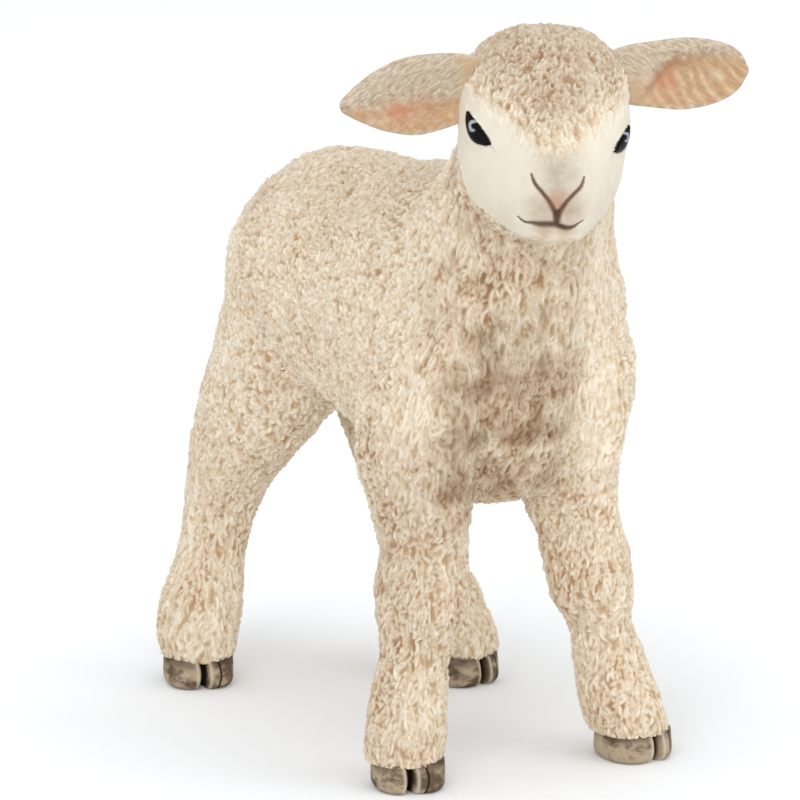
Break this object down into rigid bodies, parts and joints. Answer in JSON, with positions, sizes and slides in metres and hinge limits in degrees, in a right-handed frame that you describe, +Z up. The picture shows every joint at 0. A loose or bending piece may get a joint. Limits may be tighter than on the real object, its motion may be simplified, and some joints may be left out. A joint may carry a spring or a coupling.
{
  "type": "toy lamb figure",
  "caption": "Small standing lamb figure in moulded plastic, with curled wool relief, a smooth turned face, spread ears and cloven hooves.",
  "frame": {"origin": "on the floor under the middle of the figure's box", "axes": "+Z up, the lamb faces -Y with its head turned to its right, and its left side is at +X"},
  "size_m": [0.0254, 0.0482, 0.0485],
  "materials": {
    "wool": "matte cream paint over tan in the hollows of a wool relief",
    "face": "smooth satin cream with brown painted lines",
    "ear": "matte cream with a pink wash in the hollow",
    "hoof": "matte grey-brown paint",
    "eye": "glossy black with a pale painted glint"
  },
  "bodies": {
    "root": {"torso": "wool", "head": "face", "ear_left": "ear", "ear_right": "ear", "eye_left": "eye", "eye_right": "eye", "front_left_leg": "wool", "front_right_leg": "wool", "hind_left_leg": "wool", "hind_right_leg": "wool", "tail": "wool", "front_left_hoof": "hoof", "front_right_hoof": "hoof", "hind_left_hoof": "hoof", "hind_right_hoof": "hoof"}
  },
  "joints": []
}
